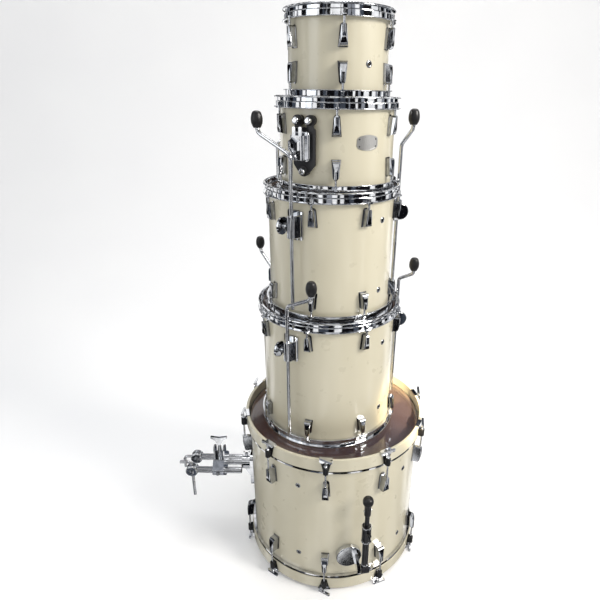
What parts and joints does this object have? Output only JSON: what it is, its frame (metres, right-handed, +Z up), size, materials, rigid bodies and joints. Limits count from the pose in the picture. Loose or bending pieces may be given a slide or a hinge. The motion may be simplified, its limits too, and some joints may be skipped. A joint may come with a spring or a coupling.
{
  "type": "acoustic drum kit",
  "caption": "Acoustic drum kit stacked as a tower: bass drum on its head with toms nested on top, stored legs, folded spurs and a tom holder.",
  "frame": {"origin": "on the floor, on the bass drum's axis", "axes": "+Z up the stack; -Y towards the side with the badge; -X towards the tom holder"},
  "size_m": [0.8441, 0.6407, 1.6678],
  "materials": {
    "cream_shell": "high-gloss cream lacquer over maple ply",
    "cream_hoop": "high-gloss cream lacquer over maple",
    "hoop_chrome": "polished triple-flanged steel",
    "lug_chrome": "polished die casting",
    "cast_chrome": "polished casting",
    "chrome_rod": "polished rod",
    "claw_metal": "chrome hook with a black body",
    "black_steel": "satin black",
    "rubber": "moulded rubber",
    "drum_film": "clear polyester film with a metal flesh hoop",
    "badge_metal": "brushed plate, blank"
  },
  "bodies": {
    "bass_drum": {"bass_shell": "cream_shell", "bass_hoops": "cream_hoop", "bass_heads": "drum_film", "bass_lugs": "lug_chrome", "bass_claws": "claw_metal", "bass_tension_rods": "chrome_rod", "spur_bases": "cast_chrome", "holder_base": "cast_chrome"},
    "spur_tube_front": {"spur_tube_front": "black_steel"},
    "spur_leg_front": {"spur_rod_front": "black_steel", "spur_foot_front": "rubber"},
    "spur_tube_rear": {"spur_tube_rear": "black_steel"},
    "spur_leg_rear": {"spur_rod_rear": "black_steel", "spur_foot_rear": "rubber"},
    "tom_holder": {"holder_post": "chrome_rod", "holder_block": "cast_chrome"},
    "holder_wing_bolt": {"holder_wing_bolt": "cast_chrome"},
    "holder_arm_a": {"holder_arm_a": "cast_chrome"},
    "holder_arm_b": {"holder_arm_b": "cast_chrome"},
    "holder_l_rod_a": {"holder_l_rod_a": "chrome_rod"},
    "holder_l_rod_b": {"holder_l_rod_b": "chrome_rod"},
    "tom16": {"tom16_shell": "cream_shell", "tom16_hoops": "hoop_chrome", "tom16_heads": "drum_film", "tom16_lugs": "lug_chrome", "tom16_tension_rods": "chrome_rod", "tom16_leg_brackets": "cast_chrome"},
    "tom14": {"tom14_shell": "cream_shell", "tom14_hoops": "hoop_chrome", "tom14_heads": "drum_film", "tom14_lugs": "lug_chrome", "tom14_tension_rods": "chrome_rod", "tom14_leg_brackets": "cast_chrome"},
    "tom12": {"tom12_shell": "cream_shell", "tom12_hoops": "hoop_chrome", "tom12_heads": "drum_film", "tom12_lugs": "lug_chrome", "tom12_tension_rods": "chrome_rod", "tom12_badge": "badge_metal", "tom12_mount_plate": "black_steel", "tom12_mount_bolts": "cast_chrome", "tom12_mount_clamp": "cast_chrome"},
    "tom10": {"tom10_shell": "cream_shell", "tom10_hoops": "hoop_chrome", "tom10_heads": "drum_film", "tom10_lugs": "lug_chrome", "tom10_tension_rods": "chrome_rod", "tom10_mount_bracket": "cast_chrome"},
    "tom16_leg_1": {"tom16_leg_1": "chrome_rod", "tom16_leg_1_foot": "rubber"},
    "tom16_leg_2": {"tom16_leg_2": "chrome_rod", "tom16_leg_2_foot": "rubber"},
    "tom16_leg_3": {"tom16_leg_3": "chrome_rod", "tom16_leg_3_foot": "rubber"},
    "tom14_leg_1": {"tom14_leg_1": "chrome_rod", "tom14_leg_1_foot": "rubber"},
    "tom14_leg_2": {"tom14_leg_2": "chrome_rod", "tom14_leg_2_foot": "rubber"},
    "tom14_leg_3": {"tom14_leg_3": "chrome_rod", "tom14_leg_3_foot": "rubber"}
  },
  "joints": [
    {"name": "tom16_lift", "type": "slide", "parent": "bass_drum", "child": "tom16", "axis": [0, 0, 1], "range_m": [0, 0.3]},
    {"name": "tom14_lift", "type": "slide", "parent": "tom16", "child": "tom14", "axis": [0, 0, 1], "range_m": [0, 0.3]},
    {"name": "tom12_lift", "type": "slide", "parent": "tom14", "child": "tom12", "axis": [0, 0, 1], "range_m": [0, 0.3]},
    {"name": "tom10_lift", "type": "slide", "parent": "tom12", "child": "tom10", "axis": [0, 0, 1], "range_m": [0, 0.3]},
    {"name": "tom16_leg_1_slide", "type": "slide", "parent": "tom16", "child": "tom16_leg_1", "axis": [0, 0, 1], "range_m": [-0.01, 0.15]},
    {"name": "tom16_leg_2_slide", "type": "slide", "parent": "tom16", "child": "tom16_leg_2", "axis": [0, 0, 1], "range_m": [-0.01, 0.15]},
    {"name": "tom16_leg_3_slide", "type": "slide", "parent": "tom16", "child": "tom16_leg_3", "axis": [0, 0, 1], "range_m": [-0.01, 0.15]},
    {"name": "tom14_leg_1_slide", "type": "slide", "parent": "tom14", "child": "tom14_leg_1", "axis": [0, 0, 1], "range_m": [-0.01, 0.15]},
    {"name": "tom14_leg_2_slide", "type": "slide", "parent": "tom14", "child": "tom14_leg_2", "axis": [0, 0, 1], "range_m": [-0.01, 0.15]},
    {"name": "tom14_leg_3_slide", "type": "slide", "parent": "tom14", "child": "tom14_leg_3", "axis": [0, 0, 1], "range_m": [-0.01, 0.15]},
    {"name": "spur_front_fold", "type": "hinge", "parent": "bass_drum", "child": "spur_tube_front", "pos_m": [0.1016, -0.31183, 0.128], "axis": [0.9829, 0.184, 0], "range_deg": [0, 100]},
    {"name": "spur_front_slide", "type": "slide", "parent": "spur_tube_front", "child": "spur_leg_front", "axis": [0, 0, 1], "range_m": [-0.04, 0.09]},
    {"name": "spur_rear_fold", "type": "hinge", "parent": "bass_drum", "child": "spur_tube_rear", "pos_m": [0.14811, 0.29262, 0.128], "axis": [-0.9432, 0.3322, 0], "range_deg": [0, 100]},
    {"name": "spur_rear_slide", "type": "slide", "parent": "spur_tube_rear", "child": "spur_leg_rear", "axis": [0, 0, 1], "range_m": [-0.04, 0.09]},
    {"name": "holder_swivel", "type": "hinge", "parent": "bass_drum", "child": "tom_holder", "pos_m": [-0.3, 0, 0.273], "axis": [1, 0, 0], "range_deg": [-60, 60]},
    {"name": "wing_bolt_turn", "type": "hinge", "parent": "tom_holder", "child": "holder_wing_bolt", "pos_m": [-0.399, 0, 0.308], "axis": [0, 0, 1], "continuous": true},
    {"name": "arm_a_slide", "type": "slide", "parent": "tom_holder", "child": "holder_arm_a", "axis": [-1, 0, 0], "range_m": [0, 0.05]},
    {"name": "arm_b_slide", "type": "slide", "parent": "tom_holder", "child": "holder_arm_b", "axis": [-1, 0, 0], "range_m": [0, 0.05]},
    {"name": "l_rod_a_tilt", "type": "hinge", "parent": "holder_arm_a", "child": "holder_l_rod_a", "pos_m": [-0.492, -0.034, 0.263], "axis": [0, 1, 0], "range_deg": [-18, 18]},
    {"name": "l_rod_b_tilt", "type": "hinge", "parent": "holder_arm_b", "child": "holder_l_rod_b", "pos_m": [-0.492, 0.034, 0.263], "axis": [0, 1, 0], "range_deg": [-25, 60]}
  ]
}
